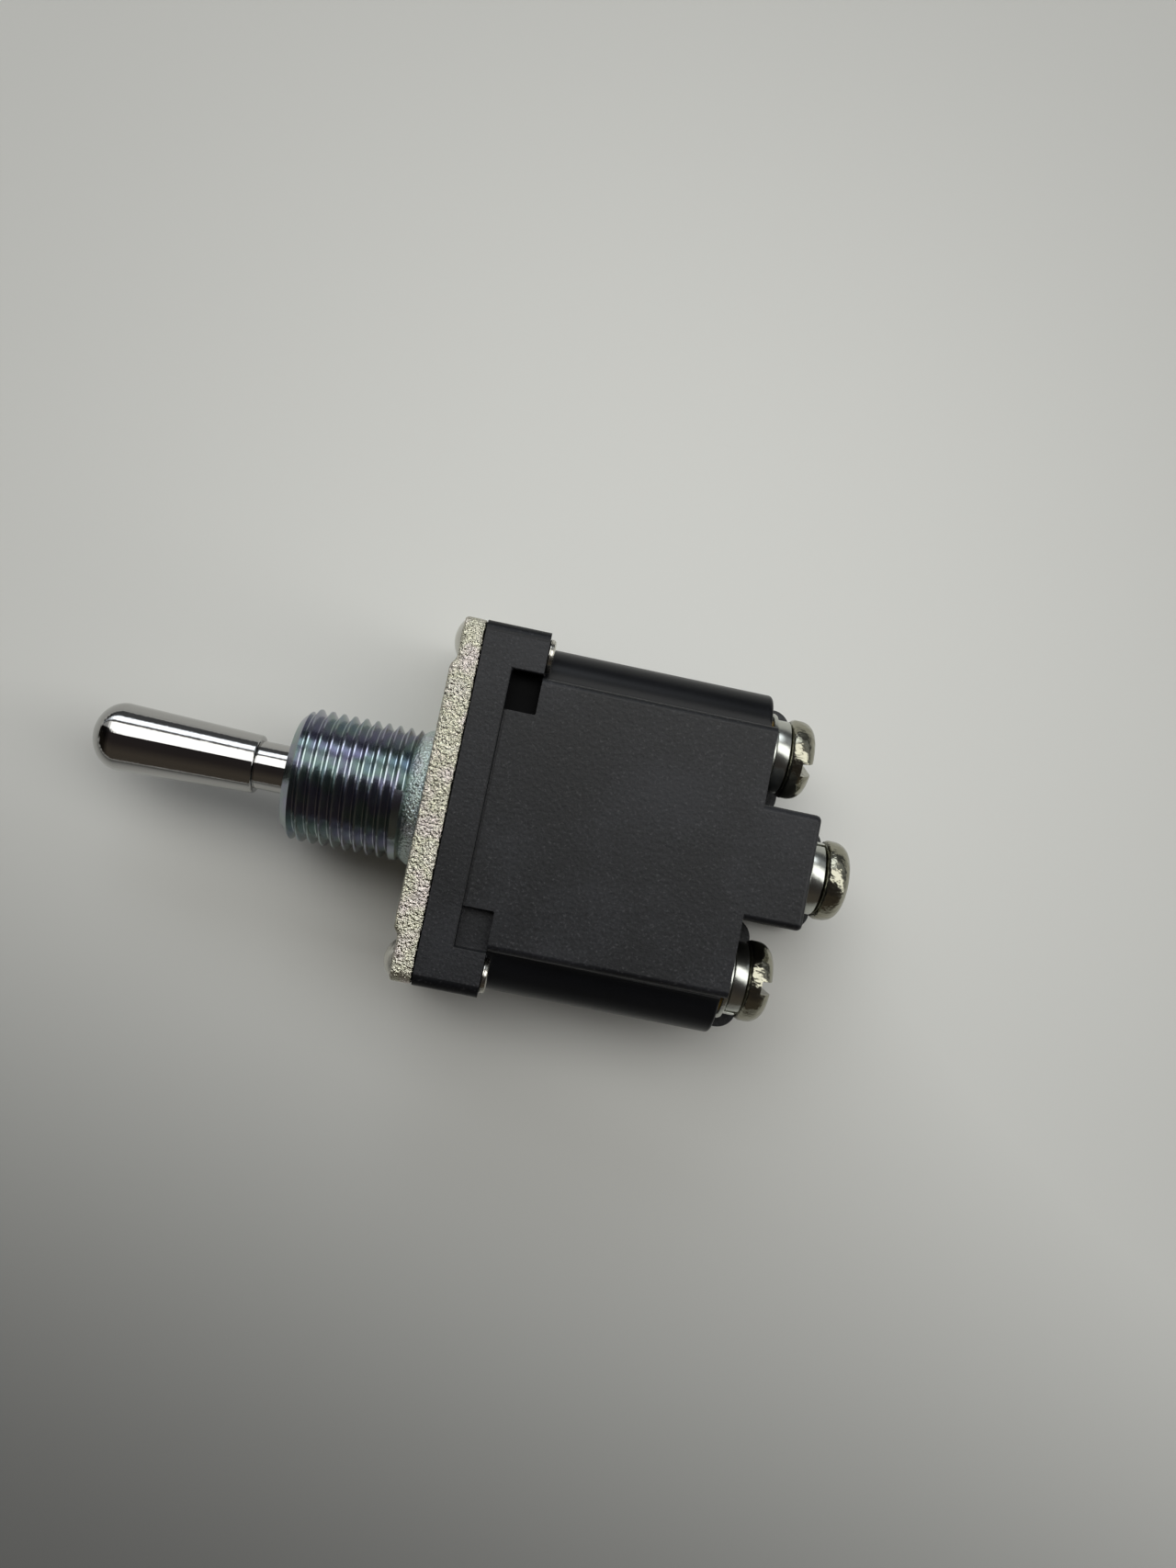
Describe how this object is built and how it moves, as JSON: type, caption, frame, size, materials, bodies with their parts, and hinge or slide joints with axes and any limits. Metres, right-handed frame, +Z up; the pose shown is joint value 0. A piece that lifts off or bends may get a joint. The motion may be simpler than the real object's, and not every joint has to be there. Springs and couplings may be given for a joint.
{
  "type": "toggle switch",
  "caption": "Sealed single-pole panel toggle switch: threaded bushing on a cast cover, moulded case, screw terminals behind, lever that tilts a rocking contact.",
  "frame": {"origin": "on the bushing's axis at the panel seat, which is the cover plate's front face", "axes": "+X along the bushing's axis from the panel seat towards the terminals, so the lever points along -X; +Y the way the lever swings; +Z up out of the upper broad side as the switch lies"},
  "size_m": [0.0675, 0.031, 0.0162],
  "materials": {
    "chromated_casting": "fine cast grain under a clear yellow chromate film",
    "chromed_lever": "polished chrome plate",
    "moulded_case": "fine matt mould grain, glossy on the rounded ribs",
    "plated_steel": "dull nickel plate",
    "pin_steel": "ground",
    "spring_steel": "drawn wire",
    "sleeve_steel": "turned",
    "seal_rubber": "moulded",
    "natural_nylon": "moulded, unpigmented",
    "contact_brass": "stamped or turned",
    "silver_tip": "fine silver"
  },
  "bodies": {
    "switch": {"bushing_plate": "chromated_casting", "pivot_pin": "pin_steel", "pivot_sleeve": "sleeve_steel", "lever_seal": "seal_rubber", "rocker_pin": "pin_steel", "common_terminal": "contact_brass", "fixed_terminal_1": "contact_brass", "fixed_terminal_3": "contact_brass", "fixed_tip_1": "silver_tip", "fixed_tip_3": "silver_tip", "case": "moulded_case", "cover_gasket": "seal_rubber", "rivet_1": "plated_steel", "rivet_2": "plated_steel", "rivet_3": "plated_steel", "rivet_4": "plated_steel", "terminal_screw_1": "plated_steel", "terminal_screw_2": "plated_steel", "terminal_screw_3": "plated_steel", "lock_washer_1": "plated_steel", "lock_washer_2": "plated_steel", "lock_washer_3": "plated_steel", "flat_washer_1": "plated_steel", "flat_washer_2": "plated_steel", "flat_washer_3": "plated_steel"},
    "lever": {"lever": "chromed_lever", "actuator_cup": "natural_nylon", "plunger_spring": "spring_steel"},
    "plunger": {"plunger": "natural_nylon"},
    "rocker": {"rocker_cam": "natural_nylon", "moving_contact": "contact_brass", "moving_tips": "silver_tip"}
  },
  "joints": [
    {"name": "lever_swing", "type": "hinge", "parent": "switch", "child": "lever", "pos_m": [-0.0057, 0, 0], "axis": [0, 0, 1], "range_deg": [-15, 15]},
    {"name": "plunger_slide", "type": "slide", "parent": "lever", "child": "plunger", "axis": [1, 0, 0], "range_m": [-0.0005, 0], "stiffness_N_per_m": 10, "springref_m": 0.001, "deforming": ["plunger_spring"]},
    {"name": "rocker_tilt", "type": "hinge", "parent": "switch", "child": "rocker", "pos_m": [0.0147, 0, 0], "axis": [0, 0, 1], "range_deg": [-7.5, 7.5]}
  ],
  "couplings": [
    {"joint": "rocker_tilt", "follows": "lever_swing", "ratio": -0.5}
  ]
}
